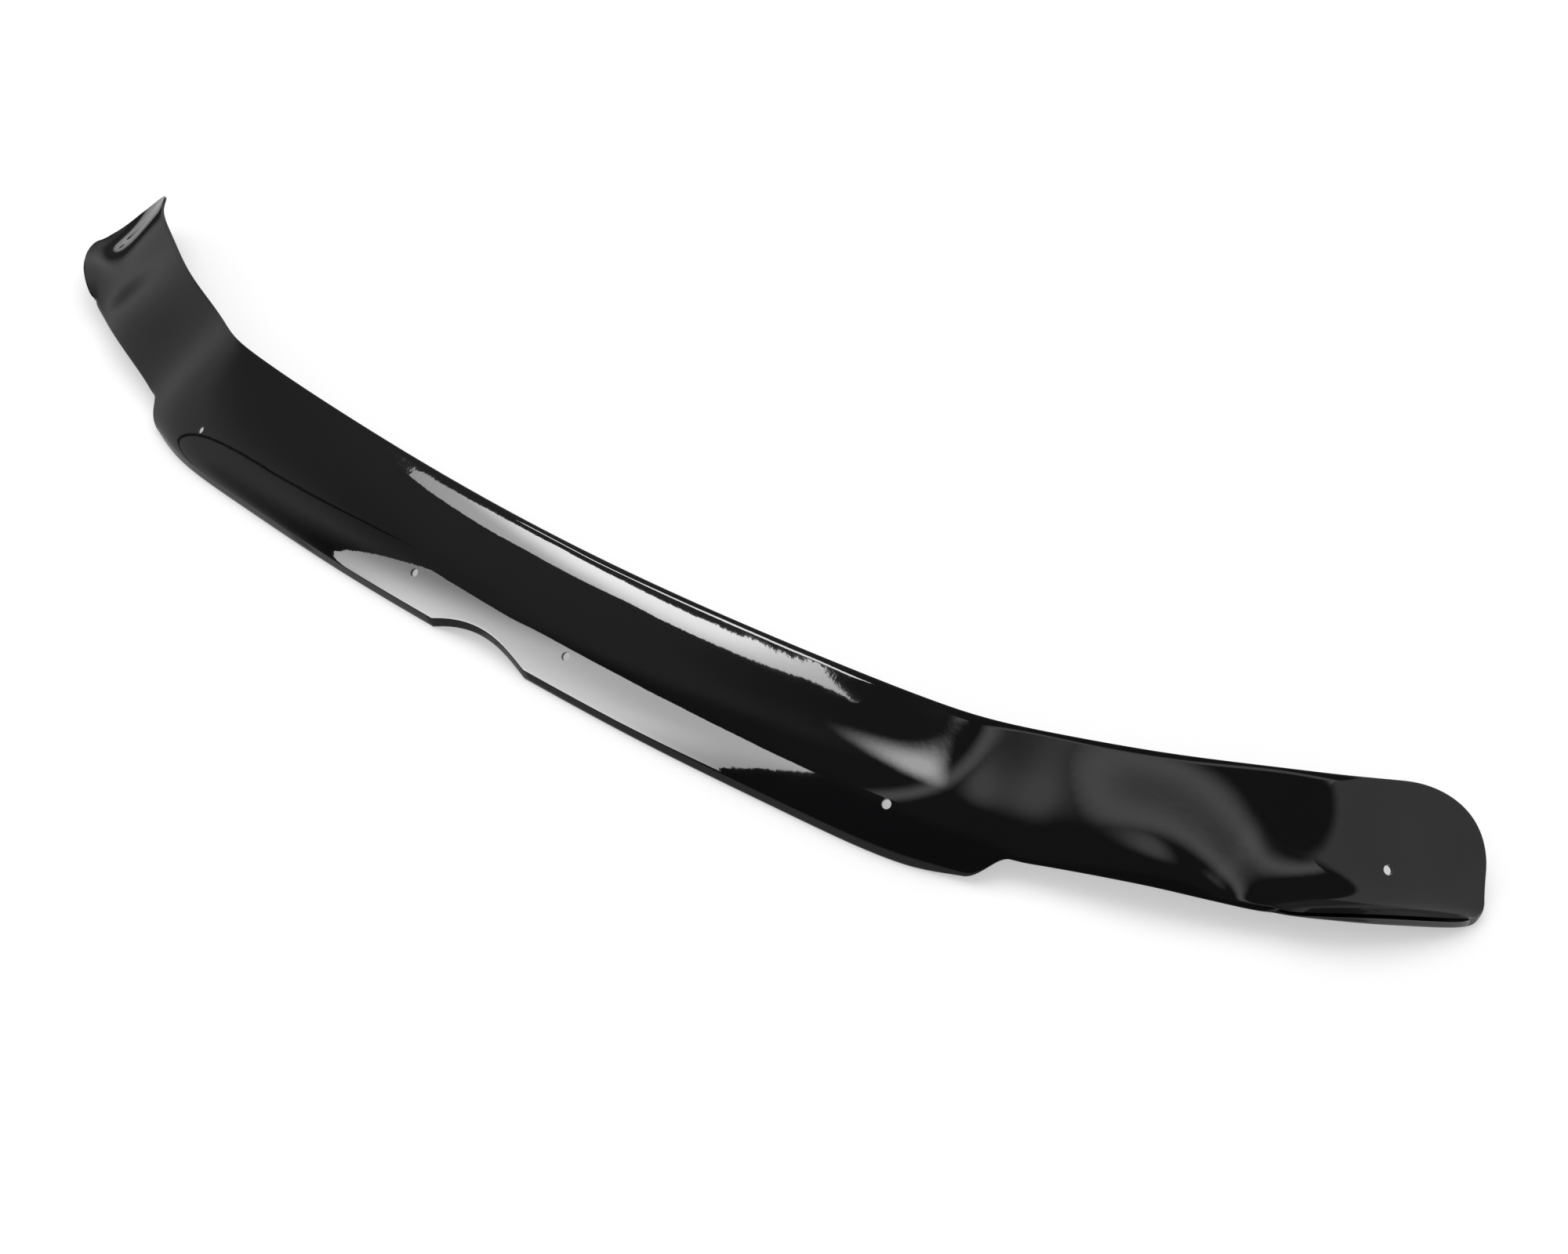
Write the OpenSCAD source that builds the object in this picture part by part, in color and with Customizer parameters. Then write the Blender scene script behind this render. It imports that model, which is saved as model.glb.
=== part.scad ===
// Hood bug deflector: one moulded sheet of dark smoked acrylic, resting on its
// lower lip with the outer face up, the way it lies on a bench.
// Front is -Y, right is +X, up is +Z. All sizes in mm.

/* [Overall] */
// tip to tip width across both wings
overall_width = 1444; // [1200:2:1700]
// depth front to back, from the notch to the swept wing tips
overall_depth = 260; // [200:2:320]
// height of the upper edge above the bench at the bend between panel and wing
edge_height = 75; // [55:1:95]
// sheet thickness
sheet = 3; // [2:0.5:4]

/* [Section] */
// how far the face is bowed, in percent of the fitted bow
bow = 100; // [50:5:130]
// drop of the vertical lip under the main panel
lip_drop = 9.5; // [7:0.5:12]
// length of the short lip at the inner end of each wing
wing_lip = 3; // [2.5:0.5:6]
// outside radius of the fold between face and lip
fold_radius = 4.5; // [4.5:0.5:7]

/* [Centre notch] */
// width between the two sharp corners of the notch
notch_width = 96; // [60:2:140]
// height of the notch arc above the lower edge
notch_height = 12; // [6:1:18]

/* [Wing ends] */
// how far along the wing the big upper corner starts
corner_length = 48; // [40:1:80]
// straight part left at the bottom of the wing end
end_straight = 20; // [15:1:35]
// radius of the lower outer corner
toe_radius = 11; // [5:1:12]

/* [Fixing holes] */
// diameter of the six plain holes
bore = 7; // [5:0.5:10]

/* [Hidden] */
eps = 0.01;

// lofting table, one row a station from the centre plane to the wing end:
// lower edge x y z, upper edge x y z, bow near the lower edge, bow near the top
stations = [
  [    0,   -16,    9,     0,    78, 59,   16,   18],
  [  150,   -14,    9,   140,    80, 62,   16,   16],
  [  280,    -6,    9,   262,    85, 68,   17,   10],
  [  370,     3,    9,   342,    91, 72,   18,    4],
  [  425,    18,    9,   392,    98, 75,   14,   -2],
  [  475,    36,    9,   440,   118, 72,    9,   -6],
  [  546,    68,   20,   505,   142, 75,   13,   -2],
  [  604,    97,   26,   566,   172, 75,   -6,   -4],
  [  662,   132,   30,   616,   200, 73,  -20,   -4],
  [  706,   172,   18,   655,   232, 63,  -18,  -11],
  [  725,   197,    8,   698,   268, 48,   -4,   -8]
];
last = len(stations) - 1;

// the table is drawn for this width, depth and height, and scaled to the sizes above
table_width = 1444;
table_depth = 260;
table_height = 75;
scale_x = overall_width / table_width;
scale_y = overall_depth / table_depth;
scale_z = edge_height / table_height;
// the row frame sits half way along the depth, and the lip's lower edge on the bench
mid_y = 114.15 * scale_y;
rest_z = lip_drop - 9 * scale_z;

function column_scale(c) = c == 0 || c == 3 ? scale_x
                         : c == 1 || c == 4 ? scale_y
                         : c == 2 || c == 5 ? scale_z
                         : bow / 100;
// station value past either end of the table: mirrored at the centre, run on at the wing end
function value(i, c) = (i < 0 ? (c == 0 || c == 3 ? -1 : 1) * stations[-i][c]
                       : i > last ? 2 * stations[last][c] - stations[2 * last - i][c]
                       : stations[i][c]) * column_scale(c);
// smooth curve through the stations
function spline(p0, p1, p2, p3, s) =
  p1 + 0.5 * s * (p2 - p0 + s * (2 * p0 - 5 * p1 + 4 * p2 - p3 + s * (3 * (p1 - p2) + p3 - p0)));
function at(t, c) =
  let (i = min(floor(t), last - 1), s = t - i)
  spline(value(i - 1, c), value(i, c), value(i + 1, c), value(i + 2, c), s);
function lower(t) = [at(t, 0), at(t, 1), at(t, 2)];
function upper(t) = [at(t, 3), at(t, 4), at(t, 5)];
function unit(v) = v / norm(v);
function mid_line(t) = lower(t) + upper(t);
// direction along the part at a station
function along(t) = t < 0.05 ? [1, 0, 0]
                  : unit(mid_line(min(t + 0.05, last)) - mid_line(t - 0.05));
function outward(t) = unit(cross(along(t), upper(t) - lower(t)));

// section curve: share of the chord and height over it, both cubic
function share(v) = 0.45 * (1 - v) * (1 - v) * v + 1.8 * (1 - v) * v * v + v * v * v;
function rise(t, v) = 3 * (1 - v) * (1 - v) * v * at(t, 6) + 3 * (1 - v) * v * v * at(t, 7);
function face(t, v) = lower(t) + (upper(t) - lower(t)) * share(v) + outward(t) * rise(t, v);
// direction up the section, and the outer normal of the face
function climb(t, v) = unit(face(t, min(v + 0.01, 1)) - face(t, max(v - 0.01, 0)));
function normal(t, v) =
  let (a = face(min(t + 0.02, last), v), b = t < 0.02 ? face(0, v) - [0.02 * at(1, 0), 0, 0] : face(t - 0.02, v))
  unit(cross(a - b, climb(t, v)));

// where the section starts at the bottom
chord = norm(upper(0) - lower(0));
notch_t = notch_width / 2 / at(1, 0);
notch_arc = (notch_width * notch_width / 4 + notch_height * notch_height) / (2 * notch_height);
function ease(s) = s <= 0 ? 0 : s >= 1 ? 1 : s * s * (3 - 2 * s);
function notch_cut(t) =
  t >= notch_t ? 0
  : (sqrt(notch_arc * notch_arc - pow(notch_width / 2 * t / notch_t, 2)) - notch_arc + notch_height) / chord * 1.6;
function step_cut(t) = 0.265 * ease((t - 4.0) / 0.62) * (1 - ease((t - 4.9) / 2.7));
wing_run = norm(face(last, 0.2) - face(last - 1, 0.2));
end_chord = norm(upper(last) - lower(last));
toe_t = last - toe_radius / wing_run;
function toe_cut(t) =
  t <= toe_t ? 0
  : (toe_radius - sqrt(max(0, pow(toe_radius, 2) - pow((t - toe_t) * wing_run, 2)))) / end_chord * 1.6;
function foot(t) = notch_cut(t) + step_cut(t) + toe_cut(t);
// where it stops at the top: a full quarter curve rounds the upper corner of the wing end
corner_t = last - corner_length / wing_run;
head_min = 0.12 + end_straight / end_chord;
head_max = 1 - 0.45 * sheet / end_chord;
function head(t) =
  t <= corner_t ? head_max
  : head_min + (head_max - head_min) * pow(max(0, 1 - pow((t - corner_t) / (last - corner_t), 2.4)), 1 / 2.4);

// lip under the lower edge: drop, and lean away from straight down
function lip_length(t) =
  t < 3.2 ? lip_drop
  : t < 4.4 ? lip_drop + (wing_lip - lip_drop) * ease((t - 3.2) / 1.2)
  : t < 6.5 ? wing_lip
  : t < 9.65 ? wing_lip + (lip_drop - wing_lip) * ease((t - 6.5) / 1.8)
  : wing_lip + (lip_drop - wing_lip) * (1 - ease((t - 9.65) / 0.35));
function lip_lean(t) = 45 * ease((t - 4.1) / 0.8) * (1 - ease((t - 6) / 2.2));
function lip_way(t, n) =
  let (flat = unit([n[0], n[1], 0]))
  unit([flat[0] * sin(lip_lean(t)), flat[1] * sin(lip_lean(t)), -cos(lip_lean(t))]);

// one closed ring of the loft
face_steps = 12;
function ring(t) =
  let (
    v0 = foot(t),
    v1 = head(t),
    vs = [for (j = [0 : face_steps - 1]) v1 + (v0 - v1) * j / face_steps],
    n0 = normal(t, v0),
    way = lip_way(t, n0),
    p0 = unit(n0 - way * (n0 * way)),
    root = face(t, v0),
    core = root - (n0 + p0) / (1 + n0 * p0) * fold_radius,
    fold_n = [n0, unit(n0 + p0), p0],
    outer = concat([for (v = vs) face(t, v)],
                   [for (n = fold_n) core + n * fold_radius],
                   [root + way * lip_length(t)]),
    inner_n = concat([for (v = vs) normal(t, v)], fold_n, [p0]),
    inner = [for (k = [0 : len(outer) - 1]) outer[k] - inner_n[k] * sheet],
    top_n = normal(t, v1),
    top_up = climb(t, v1),
    top_c = face(t, v1) - top_n * sheet / 2,
    top = [for (a = [135, 90, 45]) top_c + sheet / 2 * (cos(a) * top_n + sin(a) * top_up)]
  )
  concat(outer, [for (k = [len(inner) - 1 : -1 : 0]) inner[k]], top);
function shift(p) = [p[0], p[1] - mid_y, p[2] + rest_z];

// stations of the loft, closer together at the notch, the step and the wing end
half = concat([for (i = [0 : 9]) notch_t * i / 10],
              [for (i = [0 : 23]) notch_t + (3.95 - notch_t) * i / 24],
              [for (i = [0 : 12]) 3.95 + 0.75 * i / 13],
              [for (i = [0 : 17]) 4.7 + (corner_t - 4.7) * i / 18],
              [for (i = [0 : 13]) corner_t + (last - corner_t) * sin(90 * i / 13)]);
count = len(half);
rows = 2 * count - 1;
// a row left of the centre is the mirror image of its twin on the right
function row(i) =
  i >= count - 1 ? [for (p = ring(half[i - count + 1])) shift(p)]
  : [for (p = ring(half[count - 1 - i])) shift([-p[0], p[1], p[2]])];

module shell() {
  size = 2 * (face_steps + 4) + 3;
  chain = face_steps + 4;
  points = [for (i = [0 : rows - 1]) for (p = row(i)) p];
  sides = [for (i = [0 : rows - 2]) for (j = [0 : size - 1])
    let (a = i * size + j, b = i * size + (j + 1) % size)
    each [[a, b + size, b], [a, a + size, b + size]]];
  // flat ends: strips from the outer chain to the inner chain
  cap = concat([for (k = [0 : chain - 2]) [k, k + 1, 2 * chain - 2 - k, 2 * chain - 1 - k]],
               [[for (k = [0, 2 * chain - 1, 2 * chain, 2 * chain + 1, 2 * chain + 2]) k]]);
  far = (rows - 1) * size;
  ends = concat(cap,
                [for (q = cap) [for (k = [len(q) - 1 : -1 : 0]) q[k] + far]]);
  polyhedron(points = points, faces = concat(sides, ends), convexity = 8);
}

// the six holes, a station and a height up the section for each on one side
holes = [[0.535, 0.316], [2.943, 0.36], [8.397, 0.439]];

module hole(t, v) {
  p = shift(face(t, v));
  n = normal(t, v);
  tilt = acos(n[2]);
  turn = atan2(n[1], n[0]);
  translate(p) rotate([0, tilt, turn])
    translate([0, 0, -4 * sheet]) cylinder(d = bore, h = 6 * sheet, $fn = 48);
}

module deflector() {
  color([0.06, 0.06, 0.07])
  difference() {
    shell();
    for (side = [0, 1])
      mirror([side, 0, 0])
        for (h = holes)
          hole(h[0], h[1]);
  }
}

deflector();
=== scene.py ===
# A hood bug deflector: one moulded sheet of smoked acrylic, lying on its lower lip.
# The script runs from top to bottom: the camera, the bench, the room, the lights, then the part.
# Lengths are metres, apart from the deflector's own sizes, which are millimetres as in its source.
import math
import bpy
from mathutils import Matrix, Vector


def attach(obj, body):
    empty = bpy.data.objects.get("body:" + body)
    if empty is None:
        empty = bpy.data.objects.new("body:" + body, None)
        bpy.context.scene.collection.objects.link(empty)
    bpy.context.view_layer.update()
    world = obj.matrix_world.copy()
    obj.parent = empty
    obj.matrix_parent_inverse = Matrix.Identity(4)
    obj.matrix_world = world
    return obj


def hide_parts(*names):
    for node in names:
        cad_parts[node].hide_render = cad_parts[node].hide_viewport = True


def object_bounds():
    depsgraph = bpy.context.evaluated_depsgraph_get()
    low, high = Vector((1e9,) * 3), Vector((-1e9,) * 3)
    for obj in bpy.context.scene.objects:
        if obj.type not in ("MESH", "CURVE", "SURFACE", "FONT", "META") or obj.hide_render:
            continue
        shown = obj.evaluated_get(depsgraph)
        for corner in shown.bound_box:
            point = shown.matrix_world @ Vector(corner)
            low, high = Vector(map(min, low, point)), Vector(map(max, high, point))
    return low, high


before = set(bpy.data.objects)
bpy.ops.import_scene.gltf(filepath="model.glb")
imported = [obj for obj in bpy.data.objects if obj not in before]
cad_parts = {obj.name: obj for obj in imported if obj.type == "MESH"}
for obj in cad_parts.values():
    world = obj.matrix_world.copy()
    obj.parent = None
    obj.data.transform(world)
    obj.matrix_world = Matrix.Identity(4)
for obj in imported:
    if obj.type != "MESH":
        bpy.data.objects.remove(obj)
cad_low, cad_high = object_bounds()
bpy.ops.object.select_all(action="DESELECT")

# Camera
# It stands in front of the part's right end, a metre and a half from its middle, and looks down on it.
# Place and direction were solved from the six holes and the two matching halves in the picture.
camera_data = bpy.data.cameras.new("camera")
camera_data.sensor_width = 36
camera_data.lens = 41.4
camera_data.clip_start = 0.02
camera_data.clip_end = 60
camera = bpy.data.objects.new("camera", camera_data)
bpy.context.scene.collection.objects.link(camera)
camera.location = (0.7978, -0.7956, 0.9759)
look = Vector((-0.4377, 0.5831, -0.6844)).normalized()
right = Vector((0.8012, 0.5984, -0.0026)).normalized()
up = right.cross(look).normalized()
right = look.cross(up)
camera.rotation_mode = "QUATERNION"
camera.rotation_quaternion = Matrix((right, up, -look)).transposed().to_quaternion()
bpy.context.scene.camera = camera


# Bench top
# A wide top of white laminate: matt and even, so it shows nothing but the soft shadow under the part.
# Away from the part it glows for the camera, so that it stays white to its edge. The part's gloss
# doesn't mirror it.
def linear(code):
    """sRGB hex to the linear colour that a shader takes."""
    colour = []
    for first in (1, 3, 5):
        share = int(code[first:first + 2], 16) / 255
        colour.append(share / 12.92 if share <= 0.04045 else ((share + 0.055) / 1.055) ** 2.4)
    return (*colour, 1.0)


def add(tree, kind, **parts):
    """Adds one node. Names in lower case are its settings, names with a capital are its inputs, and
    _0, _1 and so on are inputs by number. A node given to an input is joined by its first output."""
    made = tree.nodes.new(kind)
    for name, value in parts.items():
        if name[0].islower():
            setattr(made, name, value)
            continue
        socket = made.inputs[int(name[1:]) if name[0] == "_" else name.replace("_", " ")]
        if isinstance(value, bpy.types.Node):
            value = value.outputs[0]
        if isinstance(value, bpy.types.NodeSocket):
            tree.links.new(value, socket)
        else:
            socket.default_value = value
    return made


def fade(tree, *stretches):
    """A level that is the product of its stretches. A stretch is a value, two places along that value
    and the levels at them, with a soft change between."""
    product = None
    for value, start, end, at_start, at_end in stretches:
        level = add(tree, "ShaderNodeMapRange", interpolation_type="SMOOTHSTEP",
                    Value=value, From_Min=start, From_Max=end, To_Min=at_start, To_Max=at_end)
        if product:
            level = add(tree, "ShaderNodeMath", operation="MULTIPLY", _0=product, _1=level)
        product = level
    return product


WHITE = (1, 1, 1, 1)
BENCH_RADIUS = 14
bpy.ops.mesh.primitive_circle_add(vertices=64, radius=BENCH_RADIUS, fill_type="NGON", location=(0, 0, 0))
bench = bpy.context.active_object
bench.name = "bench_top"
laminate = bpy.data.materials.new("white_laminate")
laminate.use_nodes = True
tree = laminate.node_tree
tree.nodes.clear()
seen = add(tree, "ShaderNodeLightPath")
plain_top = add(tree, "ShaderNodeBsdfDiffuse", Color=linear("#e9e9e9"))
shown_top = add(tree, "ShaderNodeBsdfDiffuse", Color=linear("#e7e7e7"))
place = add(tree, "ShaderNodeTexCoord").outputs["Object"]
away = add(tree, "ShaderNodeVectorMath", operation="LENGTH", _0=place).outputs["Value"]
# the glow grows between 0.9 m and 2.2 m from the middle of the part
glow = add(tree, "ShaderNodeEmission", Color=WHITE, Strength=fade(tree, (away, 0.9, 2.2, 0.37, 1.0)))
shown_top = add(tree, "ShaderNodeAddShader", _0=shown_top, _1=glow)
top = add(tree, "ShaderNodeMixShader", _0=seen.outputs["Is Camera Ray"], _1=plain_top, _2=shown_top)
add(tree, "ShaderNodeOutputMaterial", Surface=top)
bench.data.materials.append(laminate)
bench.visible_glossy = False

# Room
# Painted white walls round the bench. The gloss mirrors a bright wall at the left, another at the
# right and a dark side between them, where the camera stands. All other light from the room is even,
# and the camera itself sees plain white.
EVEN_LIGHT = 0.55
world = bpy.data.worlds.new("white_room")
bpy.context.scene.world = world
world.use_nodes = True
tree = world.node_tree
tree.nodes.clear()
direction = add(tree, "ShaderNodeTexCoord").outputs["Generated"]
direction = add(tree, "ShaderNodeSeparateXYZ", _0=direction)
forward = add(tree, "ShaderNodeMath", operation="MULTIPLY", _0=direction.outputs["Y"], _1=-1.0)
# in degrees: the bearing is 0 at the front and grows to the right, and the height is 0 level with the part
bearing = add(tree, "ShaderNodeMath", operation="ARCTAN2", _0=direction.outputs["X"], _1=forward)
bearing = add(tree, "ShaderNodeMath", operation="DEGREES", _0=bearing)
height = add(tree, "ShaderNodeMath", operation="ARCSINE", _0=direction.outputs["Z"])
height = add(tree, "ShaderNodeMath", operation="DEGREES", _0=height)
# the left wall is dimmer in its upper part, and a dark strip and a thin pole stand before it
POLE_BEARING = -63.0
off_pole = add(tree, "ShaderNodeMath", operation="SUBTRACT", _0=bearing, _1=POLE_BEARING)
off_pole = add(tree, "ShaderNodeMath", operation="ABSOLUTE", _0=off_pole)
left_wall = fade(tree, (bearing, -55, -43, 1, 0), (height, 30, 45, 0.45, 0.18), (height, 60, 67, 1, 0.1))
dark_strip = fade(tree, (height, -10, -7, 0, 1), (height, -1, 14, 1, 0), (bearing, -101, -93, 1, 0))
pole = fade(tree, (off_pole, 0.4, 0.9, 0.95, 0), (height, 44, 47, 1, 0))
hidden = add(tree, "ShaderNodeMath", operation="MAXIMUM", _0=dark_strip, _1=pole)
open_wall = add(tree, "ShaderNodeMath", operation="SUBTRACT", _0=1.0, _1=hidden)
left_wall = add(tree, "ShaderNodeMath", operation="MULTIPLY", _0=left_wall, _1=open_wall)
right_wall = fade(tree, (bearing, 60, 68, 0, 0.70), (height, 59, 63, 1, 0))
floor = fade(tree, (height, -34, -24, 0.25, 0))
dark_side = fade(tree, (height, 46, 54, 0.045, 0.09))
walls = add(tree, "ShaderNodeMath", operation="MAXIMUM", _0=left_wall, _1=right_wall)
walls = add(tree, "ShaderNodeMath", operation="MAXIMUM", _0=walls, _1=floor)
room = add(tree, "ShaderNodeMath", operation="ADD", _0=walls, _1=dark_side)
seen = add(tree, "ShaderNodeLightPath")
room = add(tree, "ShaderNodeMix", data_type="FLOAT", _0=seen.outputs["Is Glossy Ray"], _2=EVEN_LIGHT, _3=room)
room = add(tree, "ShaderNodeMix", data_type="FLOAT", _0=seen.outputs["Is Camera Ray"], _2=room, _3=1.0)
add(tree, "ShaderNodeOutputWorld", Surface=add(tree, "ShaderNodeBackground", Color=WHITE, Strength=room))

# Plain lamp
# One wide soft box above the bench. It gives the even light and the soft shadow, and the gloss
# doesn't mirror it.
LAMP_SIDE = 2.4
LAMP_PLACE = Vector((-0.3, 0.3, 2.6))
LAMP_LEVEL = 1.55
lamp_data = bpy.data.lights.new("plain_light", "AREA")
lamp_data.shape = "RECTANGLE"
lamp_data.size = LAMP_SIDE
lamp_data.size_y = LAMP_SIDE
lamp_data.energy = LAMP_LEVEL * math.pi * LAMP_SIDE * LAMP_SIDE
lamp = bpy.data.objects.new("plain_light", lamp_data)
bpy.context.scene.collection.objects.link(lamp)
lamp.location = LAMP_PLACE
lamp.rotation_euler = LAMP_PLACE.to_track_quat("Z", "Y").to_euler()
lamp.visible_camera = False
lamp.visible_glossy = False


# Diffusers
# Four flat sheets of lit white cloth, which the gloss mirrors as the bright shapes on the part. They
# light nothing else, and the camera doesn't see them. Levels and corners follow those shapes.
def diffuser(name, corners):
    """A flat sheet of cloth through these corners. Gives its node tree and the place on the cloth."""
    mesh = bpy.data.meshes.new(name)
    mesh.from_pydata([Vector(corner) for corner in corners], [], [list(range(len(corners)))])
    sheet = bpy.data.objects.new(name, mesh)
    bpy.context.scene.collection.objects.link(sheet)
    cloth = bpy.data.materials.new(name + "_cloth")
    cloth.use_nodes = True
    cloth.node_tree.nodes.clear()
    mesh.materials.append(cloth)
    sheet.visible_camera = False
    sheet.visible_diffuse = False
    sheet.visible_shadow = False
    return cloth.node_tree, add(cloth.node_tree, "ShaderNodeTexCoord").outputs["Object"]


def light_up(tree, level, see_through=False):
    """White light of this level from the cloth. Through thin cloth, what is behind it shows too."""
    light = add(tree, "ShaderNodeEmission", Color=WHITE, Strength=level)
    if see_through:
        light = add(tree, "ShaderNodeAddShader", _0=light, _1=add(tree, "ShaderNodeBsdfTransparent"))
    add(tree, "ShaderNodeOutputMaterial", Surface=light)


# the tall one at the front left faces the part, and its corners are measured across and up from its middle
TALL_AWAY = 1.3
azimuth = math.radians(-36)
elevation = math.radians(15)
facing = Vector((math.sin(azimuth) * math.cos(elevation),
                 -math.cos(azimuth) * math.cos(elevation),
                 math.sin(elevation)))
across = Vector((0, 0, 1)).cross(facing).normalized()
upward = facing.cross(across)
TALL_OUTLINE = [
    (-0.31, 0.64), (-0.14, 0.67), (-0.12, 0.72), (0.43, 1.00), (0.55, 0.55), (0.62, 0.20),
    (0.67, -0.20), (0.68, -0.80), (-0.24, -0.80), (-0.20, -0.35), (-0.20, -0.10), (-0.23, 0.15),
]
tree, place = diffuser("tall_diffuser", [facing * TALL_AWAY + across * side + upward * rise
                                         for side, rise in TALL_OUTLINE])
sideways = add(tree, "ShaderNodeVectorMath", operation="DOT_PRODUCT", _0=place, _1=across).outputs["Value"]
tall_height = add(tree, "ShaderNodeSeparateXYZ", _0=place).outputs["Z"]
light_up(tree, fade(tree, (tall_height, 0.2, 1.1, 12.3, 9.2),
                    (sideways, -0.28, 0.06, 0.45, 1.0), (sideways, 0.38, 0.72, 1.0, 0.5)))

# the long one overhead gives the bright band along the panel, and the narrow one behind it gives the
# thin line of light along the upper edge
OVERHEAD = 1.5
LONG_OUTLINE = [
    (-1.25, 0.19), (-1.00, 0.21), (-0.80, 0.155), (-0.65, 0.04), (-0.29, -0.245), (-0.50, 0.005),
    (-0.70, 0.265), (-0.90, 0.47), (-1.03, 0.555), (-1.10, 0.53), (-1.17, 0.43), (-1.23, 0.30),
]
LONG_MIDDLE = (-0.78, 0.30, OVERHEAD)
tree, place = diffuser("long_diffuser", [(x, y, OVERHEAD) for x, y in LONG_OUTLINE])
aslant = add(tree, "ShaderNodeVectorMath", operation="DOT_PRODUCT", _0=place, _1=(1, 1, 0)).outputs["Value"]
off_middle = add(tree, "ShaderNodeVectorMath", operation="DISTANCE", _0=place, _1=LONG_MIDDLE)
light_up(tree, fade(tree, (aslant, -0.78, -0.46, 8.0, 18.0),
                    (off_middle.outputs["Value"], 0.15, 0.65, 1.0, 0.62)))

EDGE_LEVEL = 16.0
EDGE_OUTLINE = [
    (-1.14, 0.72), (-0.95, 0.645), (-0.80, 0.49), (-0.65, 0.275), (-0.50, 0.055), (-0.36, -0.13),
    (-0.32, -0.10), (-0.46, 0.09), (-0.61, 0.31), (-0.76, 0.53), (-0.92, 0.69), (-1.14, 0.78),
]
tree, place = diffuser("edge_diffuser", [(x, y, OVERHEAD) for x, y in EDGE_OUTLINE])
light_up(tree, EDGE_LEVEL)

# the weak one hangs low over the right wing: a bright oval, a faint one, and part of a faint ring
LOW = 0.8
OVALS = [
    {"middle": (0.17, -0.310), "turn": -20, "reach": (0.20, 0.062), "level": 8.5},
    {"middle": (0.58, -0.30), "turn": 8, "reach": (0.24, 0.11), "level": 1.0},
]
RING_MIDDLE = (0.97, -1.01, LOW)
RING_RADIUS = 0.925
WEAK_OUTLINE = [(-0.15, -0.60), (1.00, -0.60), (1.00, 0.00), (-0.15, 0.00)]
tree, place = diffuser("weak_diffuser", [(x, y, LOW) for x, y in WEAK_OUTLINE])
ovals = []
for oval in OVALS:
    near = add(tree, "ShaderNodeVectorMath", operation="SUBTRACT", _0=place, _1=(*oval["middle"], LOW))
    near = add(tree, "ShaderNodeVectorRotate", rotation_type="Z_AXIS",
               Vector=near, Angle=math.radians(-oval["turn"]))
    squeeze = (1 / oval["reach"][0], 1 / oval["reach"][1], 0)
    near = add(tree, "ShaderNodeVectorMath", operation="MULTIPLY", _0=near, _1=squeeze)
    near = add(tree, "ShaderNodeVectorMath", operation="LENGTH", _0=near).outputs["Value"]
    ovals.append(fade(tree, (near, 0.15, 1.0, oval["level"], 0.0)))
off_ring = add(tree, "ShaderNodeVectorMath", operation="DISTANCE", _0=place, _1=RING_MIDDLE).outputs["Value"]
off_ring = add(tree, "ShaderNodeMath", operation="SUBTRACT", _0=off_ring, _1=RING_RADIUS)
off_ring = add(tree, "ShaderNodeMath", operation="ABSOLUTE", _0=off_ring)
faint_ring = fade(tree, (off_ring, 0.0, 0.07, 1.3, 0.0))
bright_oval, faint_oval = ovals
faint = add(tree, "ShaderNodeMath", operation="MAXIMUM", _0=faint_oval, _1=faint_ring)
weak = add(tree, "ShaderNodeMath", operation="ADD", _0=bright_oval, _1=faint)
light_up(tree, weak, see_through=True)

# Deflector
# One 3 mm sheet of smoked acrylic, pressed hot over a mould: a bowed main panel for the hood's front
# edge, a wing at each side that sweeps back, and a lip folded down along the lower edge. Six plain
# holes take its screws. It is lofted like the solid, with finer steps, a smoother curve and round edges.
SHEET = 3.0
FOLD_RADIUS = 4.5
LIP = 9.5
WING_LIP = 3.0
NOTCH_WIDE = 96.0
NOTCH_HIGH = 12.0
CORNER_LENGTH = 48.0
END_STRAIGHT = 20.0
TOE_RADIUS = 11.0
MM_IN_METRE = 1000
# one row a station, from the centre to the wing end:
# lower edge x y z, upper edge x y z, bow near the lower edge, bow near the top. From x = 370 to 546 the
# bow near the top is 3 to 8 mm more than the solid's, for the round bend that the reflections show.
STATIONS = [
    (0, -16, 9, 0, 78, 59, 16, 18),
    (150, -14, 9, 140, 80, 62, 16, 16),
    (280, -6, 9, 262, 85, 68, 17, 10),
    (370, 3, 9, 342, 91, 72, 18, 8),
    (425, 18, 9, 392, 98, 75, 14, 5),
    (475, 36, 9, 440, 118, 72, 9, 2),
    (546, 68, 20, 505, 142, 75, 13, 1),
    (604, 97, 26, 566, 172, 75, -6, -4),
    (662, 132, 30, 616, 200, 73, -20, -4),
    (706, 172, 18, 655, 232, 63, -18, -11),
    (725, 197, 8, 698, 268, 48, -4, -8),
]
LAST = len(STATIONS) - 1
LOWER_X, LOWER_Y, LOWER_Z, UPPER_X, UPPER_Y, UPPER_Z, BOW_LOW, BOW_HIGH = range(8)
# from the table's place to the frame's: centred along the depth, with the lip on the bench
TO_FRAME = Vector((0, -114.15, 0.5))


def slopes(column):
    """Slopes that carry a column through the stations with no jump in its curvature. They settle
    within 80 rounds. The x columns cross the centre, where the others run level."""
    values = [row[column] for row in STATIONS]
    found = [0.0] * len(STATIONS)
    for _ in range(80):
        if column in (LOWER_X, UPPER_X):
            found[0] = (3 * values[1] - found[1]) / 2
        for i in range(1, LAST):
            found[i] = (3 * (values[i + 1] - values[i - 1]) - found[i - 1] - found[i + 1]) / 4
        found[LAST] = (3 * (values[LAST] - values[LAST - 1]) - found[LAST - 1]) / 2
    return found


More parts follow.
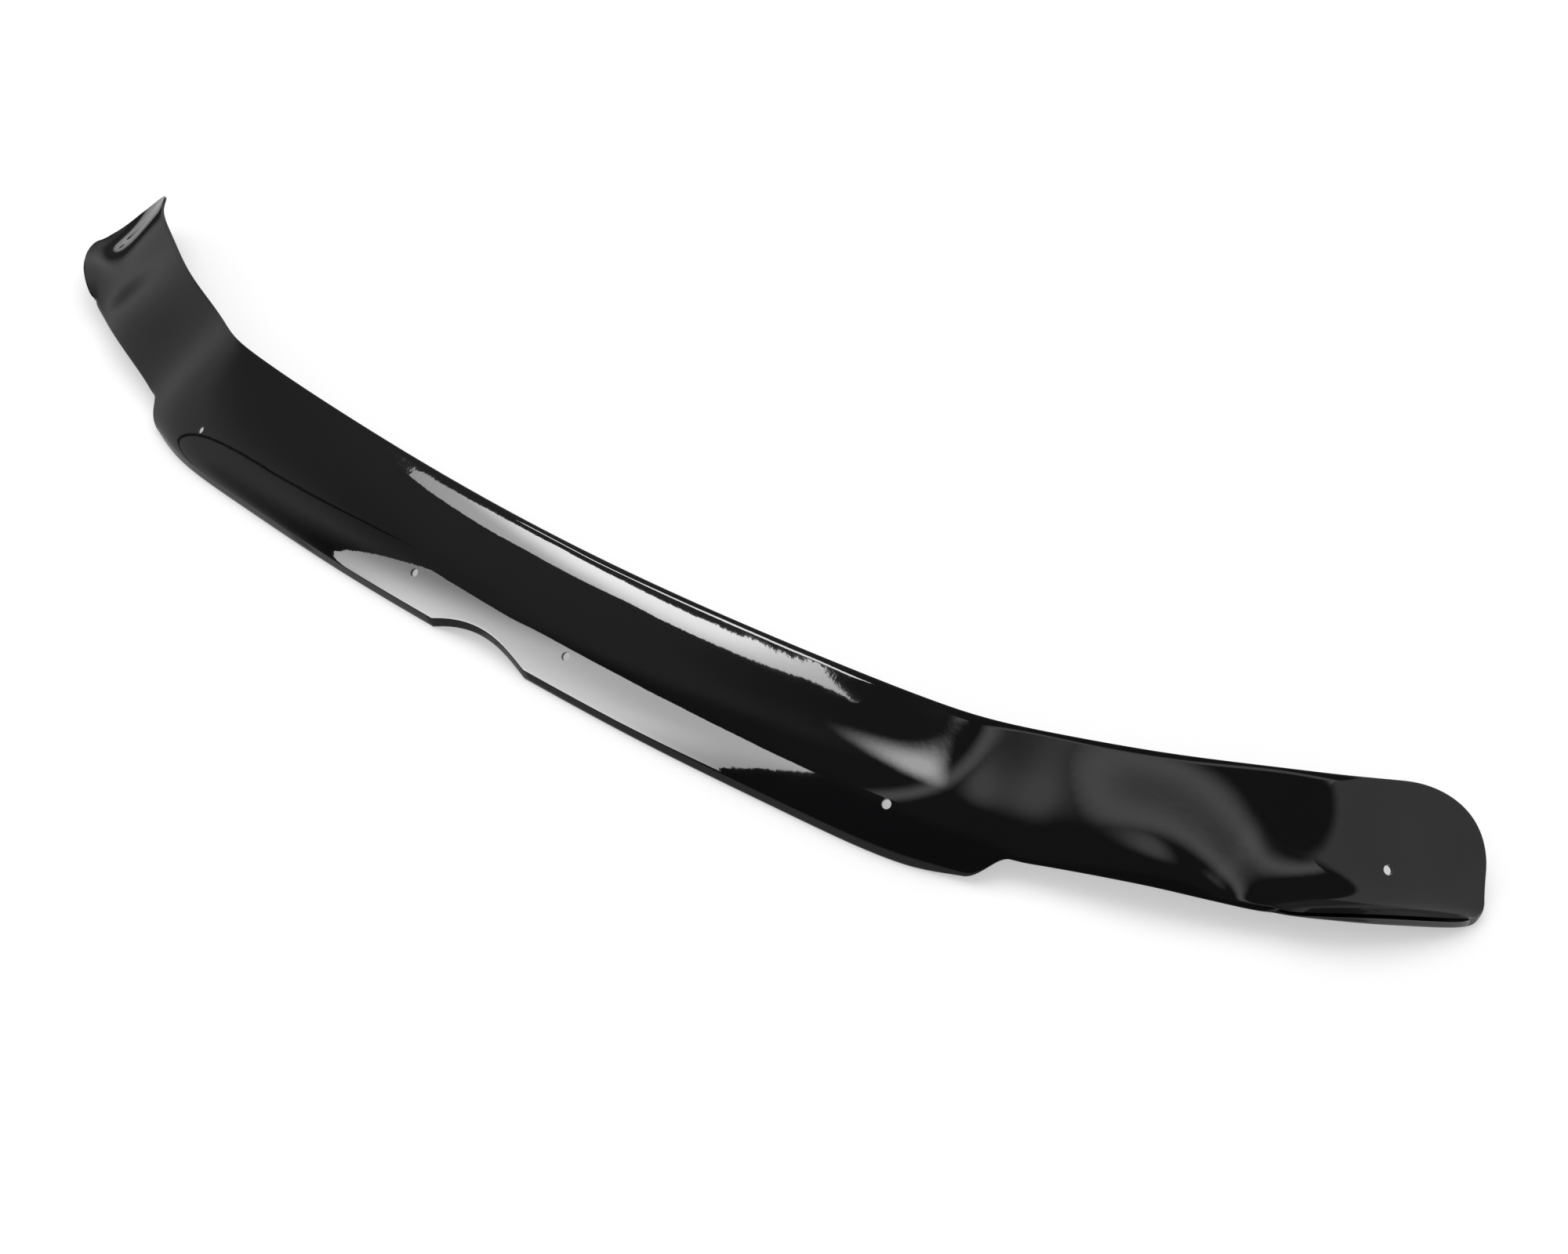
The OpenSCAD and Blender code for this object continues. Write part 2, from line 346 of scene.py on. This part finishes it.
SLOPES = [slopes(column) for column in range(len(STATIONS[0]))]


# a place on the part is a station, counted from the centre with its fraction, and a level, which is 0
# at the lower edge and 1 at the upper edge
def at(station, column):
    """The value of a column at a station."""
    i = min(int(station), LAST - 1)
    on = station - i
    start, end = STATIONS[i][column], STATIONS[i + 1][column]
    leaving, arriving = SLOPES[column][i], SLOPES[column][i + 1]
    square = 3 * (end - start) - 2 * leaving - arriving
    cube = 2 * (start - end) + leaving + arriving
    return start + on * (leaving + on * (square + on * cube))


def lower(station):
    """The lower edge."""
    return Vector((at(station, LOWER_X), at(station, LOWER_Y), at(station, LOWER_Z)))


def upper(station):
    """The upper edge."""
    return Vector((at(station, UPPER_X), at(station, UPPER_Y), at(station, UPPER_Z)))


def outward(station):
    """The way that the section bows: square to its chord and to the run of the part."""
    near = 0.05
    if station < near:
        run = Vector((1, 0, 0))
    else:
        ahead, behind = min(station + near, LAST), station - near
        run = (lower(ahead) + upper(ahead) - lower(behind) - upper(behind)).normalized()
    return run.cross(upper(station) - lower(station)).normalized()


def cubic(low, high, end, level):
    """A curve from 0 to end, drawn out by a low and a high handle."""
    return 3 * (1 - level) ** 2 * level * low + 3 * (1 - level) * level * level * high + level ** 3 * end


LOW_HANDLE = 0.15
HIGH_HANDLE = 0.6


def face(station, level):
    """A point of the outer face."""
    chord = (upper(station) - lower(station)) * cubic(LOW_HANDLE, HIGH_HANDLE, 1, level)
    bow = outward(station) * cubic(at(station, BOW_LOW), at(station, BOW_HIGH), 0, level)
    return lower(station) + chord + bow


def climb(station, level):
    """The direction up the face."""
    near = 0.01
    return (face(station, min(level + near, 1)) - face(station, max(level - near, 0))).normalized()


def normal(station, level):
    """The direction out of the face."""
    near = 0.02
    if station < near:
        behind = face(0, level) - Vector((near * at(1, LOWER_X), 0, 0))
    else:
        behind = face(station - near, level)
    return (face(min(station + near, LAST), level) - behind).cross(climb(station, level)).normalized()


def ease(value, start, end):
    """0 up to start, 1 from end on, and a soft curve between."""
    on = min(max((value - start) / (end - start), 0.0), 1.0)
    return on * on * (3 - 2 * on)


# stations where the lower edge steps up into the wing and comes down again, where the lip shortens,
# deepens and runs out, and where it starts and stops leaning outward
STEP_UP = (4.0, 4.62)
STEP_DOWN = (4.9, 7.6)
LIP_SHORTENS = (3.2, 4.4)
LIP_DEEPENS = (6.5, 8.3)
LIP_RUNS_OUT = (9.65, 10.0)
LEAN_STARTS = (4.1, 4.9)
LEAN_STOPS = (6.0, 8.2)
STEP_LEVEL = 0.265
MOST_LEAN = math.radians(45)
# near the lower edge the level changes 1.6 times as fast as the share of the chord
LOW_RATE = 1.6
# the level at the toe's top, the share of the sheet that the round top edge takes, and the power of the
# curve round the wing's upper corner, where 2 is an ellipse and more is squarer
TOE_LEVEL = 0.12
TOP_EDGE = 0.45
CORNER_POWER = 2.4
notch_end = NOTCH_WIDE / 2 / at(1, LOWER_X)
notch_radius = (NOTCH_WIDE ** 2 / 4 + NOTCH_HIGH ** 2) / (2 * NOTCH_HIGH)
centre_chord = (upper(0) - lower(0)).length
end_chord = (upper(LAST) - lower(LAST)).length
# the last station's length, measured low on the face, and the stations that follow from it
station_mm = (face(LAST, 0.2) - face(LAST - 1, 0.2)).length
toe_start = LAST - TOE_RADIUS / station_mm
corner_start = LAST - CORNER_LENGTH / station_mm
head_low = TOE_LEVEL + END_STRAIGHT / end_chord
head_high = 1 - TOP_EDGE * SHEET / end_chord


def foot(station):
    """The level where the section starts: raised by the step, the notch and the toe."""
    level = STEP_LEVEL * ease(station, *STEP_UP) * (1 - ease(station, *STEP_DOWN))
    if station < notch_end:
        off_centre = NOTCH_WIDE / 2 * station / notch_end
        notch = math.sqrt(notch_radius ** 2 - off_centre ** 2) - notch_radius + NOTCH_HIGH
        level += notch / centre_chord * LOW_RATE
    if station > toe_start:
        past = (station - toe_start) * station_mm
        toe = TOE_RADIUS - math.sqrt(max(0, TOE_RADIUS ** 2 - past ** 2))
        level += toe / end_chord * LOW_RATE
    return level


def head(station):
    """The level where the section stops: a full quarter curve rounds the wing's upper corner."""
    if station <= corner_start:
        return head_high
    past = (station - corner_start) / (LAST - corner_start)
    return head_low + (head_high - head_low) * max(0, 1 - past ** CORNER_POWER) ** (1 / CORNER_POWER)


def lip_length(station):
    """The drop of the lip: deep under the panel, short where the wing starts, deep again further out."""
    deep = 1 - ease(station, *LIP_SHORTENS) + ease(station, *LIP_DEEPENS) - ease(station, *LIP_RUNS_OUT)
    return WING_LIP + (LIP - WING_LIP) * deep


def lip_way(station, out):
    """The direction of the lip: straight down, and leaning outward at the start of the wing."""
    lean = MOST_LEAN * ease(station, *LEAN_STARTS) * (1 - ease(station, *LEAN_STOPS))
    level_out = Vector((out.x, out.y, 0)).normalized()
    return (level_out * math.sin(lean) + Vector((0, 0, -math.cos(lean)))).normalized()


FACE_STEPS = 28
FOLD_STEPS = 5
LIP_STEPS = 3
ROUND_STEPS = 6


def ring(station, thickness=1.0):
    """One closed section: down the outer face, round the fold, down the lip and round its end, up the
    inner side and over the top edge. Thickness is a share of the sheet's, for the round end."""
    low, high = foot(station), head(station)
    face_out = normal(station, low)
    way = lip_way(station, face_out)
    lip_out = (face_out - way * face_out.dot(way)).normalized()
    root = face(station, low)
    core = root - (face_out + lip_out) / (1 + face_out.dot(lip_out)) * FOLD_RADIUS
    skin, outs = [], []
    for k in range(FACE_STEPS):
        level = high + (low - high) * k / FACE_STEPS
        skin.append(face(station, level))
        outs.append(normal(station, level))
    for k in range(FOLD_STEPS + 1):
        out = (face_out * (1 - k / FOLD_STEPS) + lip_out * (k / FOLD_STEPS)).normalized()
        skin.append(core + out * FOLD_RADIUS)
        outs.append(out)
    start = skin[-1]
    tip = root + way * (lip_length(station) - SHEET / 2)
    for k in range(1, LIP_STEPS + 1):
        skin.append(start + (tip - start) * k / LIP_STEPS)
        outs.append(lip_out)
    half = SHEET / 2 * thickness
    middle = [point - out * SHEET / 2 for point, out in zip(skin, outs)]
    outer = [point + out * half for point, out in zip(middle, outs)]
    inner = [point - out * half for point, out in zip(middle, outs)]
    turns = [math.pi * k / ROUND_STEPS for k in range(1, ROUND_STEPS)]
    top_out, top_up = outs[0], climb(station, high)
    bottom = [middle[-1] + half * (math.cos(turn) * lip_out + math.sin(turn) * way) for turn in turns]
    top = [middle[0] + half * (-math.cos(turn) * top_out + math.sin(turn) * top_up) for turn in turns]
    return outer + bottom + inner[::-1] + top


def spread(start, end, steps):
    """Evenly spaced places from start up to the last one before end."""
    return [start + (end - start) * k / steps for k in range(steps)]


# the rings stand closer together at the notch, the step and the wing end
NOTCH_STEPS = 12
PANEL_STEPS = 90
STEP_STEPS = 22
WING_STEPS = 90
CORNER_STEPS = 30
STEP_AREA = (3.95, 4.7)
places = spread(0, notch_end, NOTCH_STEPS)
places += spread(notch_end, STEP_AREA[0], PANEL_STEPS)
places += spread(*STEP_AREA, STEP_STEPS)
places += spread(STEP_AREA[1], corner_start, WING_STEPS)
places += [corner_start + (LAST - corner_start) * math.sin(turn)
           for turn in spread(0, math.pi / 2, CORNER_STEPS)]
# the last rings round off the wing's end over half the sheet's thickness, and the others stop before them
ROUND_ROOM = 1.6
END_STEPS = 4
ALMOST_SHUT = 1e-4
rows = [ring(station) for station in places if station < LAST - ROUND_ROOM / station_mm]
for k in range(END_STEPS + 1):
    turn = math.pi / 2 * k / END_STEPS
    before_end = (1 - math.sin(turn)) * SHEET / 2
    rows.append(ring(LAST - before_end / station_mm, max(math.cos(turn), ALMOST_SHUT)))
ring_points = len(rows[0])
# the left half is the mirror image of the right one
rows = [[Vector((-point.x, point.y, point.z)) for point in row] for row in rows[:0:-1]] + rows

# a flat grid is laid round the rings, and its two long sides and its ends are merged shut
MERGE = 0.00001
bpy.ops.mesh.primitive_grid_add(x_subdivisions=len(rows) - 1, y_subdivisions=ring_points, size=2)
deflector = bpy.context.active_object
deflector.name = "deflector_sheet"
for vertex in deflector.data.vertices:
    row = round((vertex.co.x + 1) / 2 * (len(rows) - 1))
    point = (ring_points - round((vertex.co.y + 1) / 2 * ring_points)) % ring_points
    vertex.co = (rows[row][point] + TO_FRAME) / MM_IN_METRE
bpy.ops.object.mode_set(mode="EDIT")
bpy.ops.mesh.select_all(action="SELECT")
bpy.ops.mesh.remove_doubles(threshold=MERGE)
bpy.ops.object.mode_set(mode="OBJECT")
# the smoother curve runs up to 0.4 mm wide of the solid, so the sheet is eased back to the solid's box
for axis in range(3):
    reach = [vertex.co[axis] for vertex in deflector.data.vertices]
    start, length = min(reach), max(reach) - min(reach)
    for vertex in deflector.data.vertices:
        share = (vertex.co[axis] - start) / length
        vertex.co[axis] = cad_low[axis] + share * (cad_high[axis] - cad_low[axis])

# the six plain holes, each drilled square to the face: station and level of the three on one side
HOLES = [(0.535, 0.316), (2.943, 0.36), (8.397, 0.439)]
BORE = 7.0
DRILL_LENGTH = 20.0
for side in (1, -1):
    for station, level in HOLES:
        middle, out = face(station, level), normal(station, level)
        middle.x *= side
        out.x *= side
        bpy.ops.mesh.primitive_cylinder_add(vertices=64, radius=BORE / 2 / MM_IN_METRE,
                                            depth=DRILL_LENGTH / MM_IN_METRE)
        drill = bpy.context.active_object
        turned = out.to_track_quat("Z", "Y").to_matrix().to_4x4()
        drill.matrix_world = Matrix.Translation((middle + TO_FRAME) / MM_IN_METRE) @ turned
        cut = deflector.modifiers.new("drill", "BOOLEAN")
        cut.operation = "DIFFERENCE"
        cut.solver = "MANIFOLD"
        cut.object = drill
        bpy.context.view_layer.objects.active = deflector
        bpy.ops.object.modifier_apply(modifier=cut.name)
        bpy.data.objects.remove(drill)
# edges of more than 38 degrees, such as the holes' rims, stay sharp, and all else is smooth
SHARP_FROM = math.radians(38)
bpy.ops.object.select_all(action="DESELECT")
deflector.select_set(True)
bpy.context.view_layer.objects.active = deflector
bpy.ops.object.shade_smooth_by_angle(angle=SHARP_FROM)

# Smoked acrylic, tinted nearly black in the mass, hot formed and buffed: a hard clear gloss, with a
# faint waviness from the mould, fainter ripples, buffing lines along the part and a thin dust film.
# Sizes are in mm. Real buffing lines are far finer, and are drawn as coarse as they need to show.
FILM_PATCH = 111.1
BUFF_LENGTH = 166.7
BUFF_WIDTH = 3.846
WAVE_SIZE = 45.45
RIPPLE_SIZE = 5.882
WAVE_DEPTH = 0.4
RIPPLE_SHARE = 0.12
acrylic = bpy.data.materials.new("smoked_acrylic")
acrylic.use_nodes = True
tree = acrylic.node_tree
tree.nodes.clear()
place = add(tree, "ShaderNodeTexCoord").outputs["Object"]
film = add(tree, "ShaderNodeTexNoise",
           Vector=place, Scale=MM_IN_METRE / FILM_PATCH, Detail=4.0, Roughness=0.6)
lengthwise = (MM_IN_METRE / BUFF_LENGTH, MM_IN_METRE / BUFF_WIDTH, MM_IN_METRE / BUFF_WIDTH)
lines = add(tree, "ShaderNodeMapping", Vector=place, Scale=lengthwise)
lines = add(tree, "ShaderNodeTexNoise", Vector=lines, Scale=1.0, Detail=3.0)
buffed = add(tree, "ShaderNodeMapRange", Value=lines, From_Min=0.35, From_Max=0.75, To_Min=0.0, To_Max=0.012)
dusty = add(tree, "ShaderNodeMapRange", Value=film, From_Min=0.3, From_Max=0.75, To_Min=0.012, To_Max=0.03)
rough = add(tree, "ShaderNodeMath", operation="ADD", _0=dusty, _1=buffed)
tint = add(tree, "ShaderNodeMix", data_type="RGBA", _0=film, _6=linear("#08080a"), _7=linear("#101012"))
wave = add(tree, "ShaderNodeTexNoise", Vector=place, Scale=MM_IN_METRE / WAVE_SIZE, Detail=1.0)
ripple = add(tree, "ShaderNodeTexNoise", Vector=place, Scale=MM_IN_METRE / RIPPLE_SIZE, Detail=2.0)
wave = add(tree, "ShaderNodeMath", operation="MULTIPLY_ADD", _0=ripple, _1=RIPPLE_SHARE, _2=wave)
bump = add(tree, "ShaderNodeBump", Strength=0.2, Distance=WAVE_DEPTH / MM_IN_METRE, Height=wave)
gloss = add(tree, "ShaderNodeBsdfPrincipled",
            Base_Color=tint.outputs[2], Roughness=rough, IOR=1.49, Normal=bump)
add(tree, "ShaderNodeOutputMaterial", Surface=gloss)
deflector.data.materials.clear()
deflector.data.materials.append(acrylic)
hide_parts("deflector")
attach(deflector, "root")

# Colours as written
bpy.context.scene.view_settings.view_transform = "Standard"
